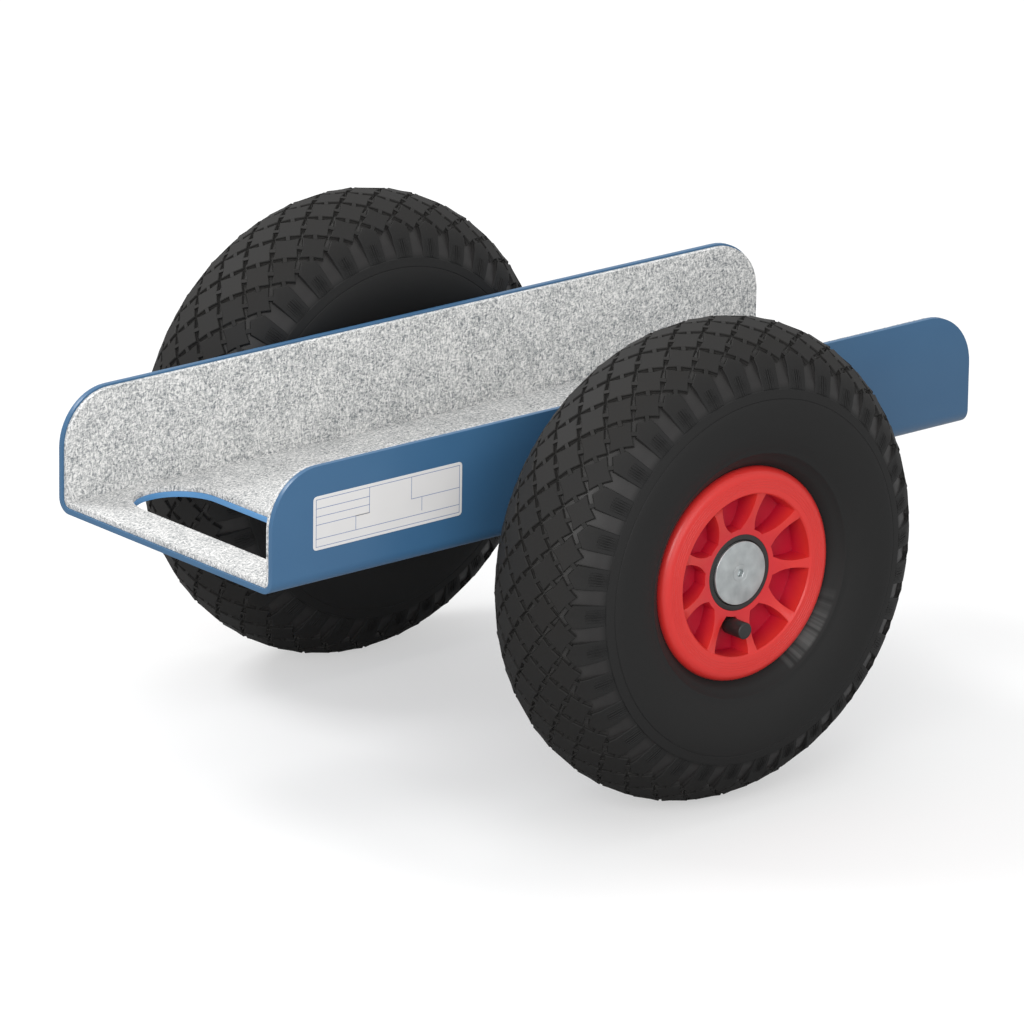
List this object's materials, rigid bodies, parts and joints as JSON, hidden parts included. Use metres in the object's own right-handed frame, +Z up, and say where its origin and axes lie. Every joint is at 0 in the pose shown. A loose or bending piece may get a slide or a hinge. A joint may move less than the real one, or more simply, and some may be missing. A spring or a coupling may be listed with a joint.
{
  "type": "panel dolly",
  "caption": "Two-wheeled panel dolly: a felt-lined folded steel trough with oblong hand slots, level on one axle between pneumatic tyres on spoked plastic rims.",
  "frame": {"origin": "on the ground below the middle of the axle", "axes": "+X along the trough, +Y along the axle towards the far wheel, +Z up"},
  "size_m": [0.484, 0.385, 0.2606],
  "materials": {
    "blue_powder_coat": "semi-gloss powder coat",
    "felt": "mottled grey needle felt",
    "axle_steel": "turned steel",
    "zinc_plate": "zinc-plated",
    "tyre_rubber": "moulded black rubber",
    "tube_rubber": "smooth black rubber",
    "red_plastic": "satin red moulding",
    "black_plastic": "satin black moulding",
    "valve_brass": "plain brass"
  },
  "bodies": {
    "frame": {"trough": "blue_powder_coat", "axle": "axle_steel", "felt_base": "felt", "felt_wall_near": "felt", "felt_wall_far": "felt", "thrust_washer_near": "axle_steel", "end_disc_near": "zinc_plate", "end_screw_near": "zinc_plate", "thrust_washer_far": "axle_steel", "end_disc_far": "zinc_plate", "end_screw_far": "zinc_plate"},
    "wheel_near": {"tyre_near": "tyre_rubber", "inner_tube_near": "tube_rubber", "rim_near": "red_plastic", "bearing_sleeve_near": "axle_steel", "roller_cage_near": "black_plastic", "rollers_near": "axle_steel", "seal_cap_outer_near": "black_plastic", "seal_cap_inner_near": "black_plastic", "valve_stem_near": "valve_brass", "valve_cap_near": "black_plastic"},
    "wheel_far": {"tyre_far": "tyre_rubber", "inner_tube_far": "tube_rubber", "rim_far": "red_plastic", "bearing_sleeve_far": "axle_steel", "roller_cage_far": "black_plastic", "rollers_far": "axle_steel", "seal_cap_outer_far": "black_plastic", "seal_cap_inner_far": "black_plastic", "valve_stem_far": "valve_brass", "valve_cap_far": "black_plastic"}
  },
  "joints": [
    {"name": "wheel_near_spin", "type": "hinge", "parent": "frame", "child": "wheel_near", "pos_m": [0, -0.15, 0.13], "axis": [0, 1, 0], "continuous": true},
    {"name": "wheel_far_spin", "type": "hinge", "parent": "frame", "child": "wheel_far", "pos_m": [0, 0.15, 0.13], "axis": [0, 1, 0], "continuous": true}
  ]
}
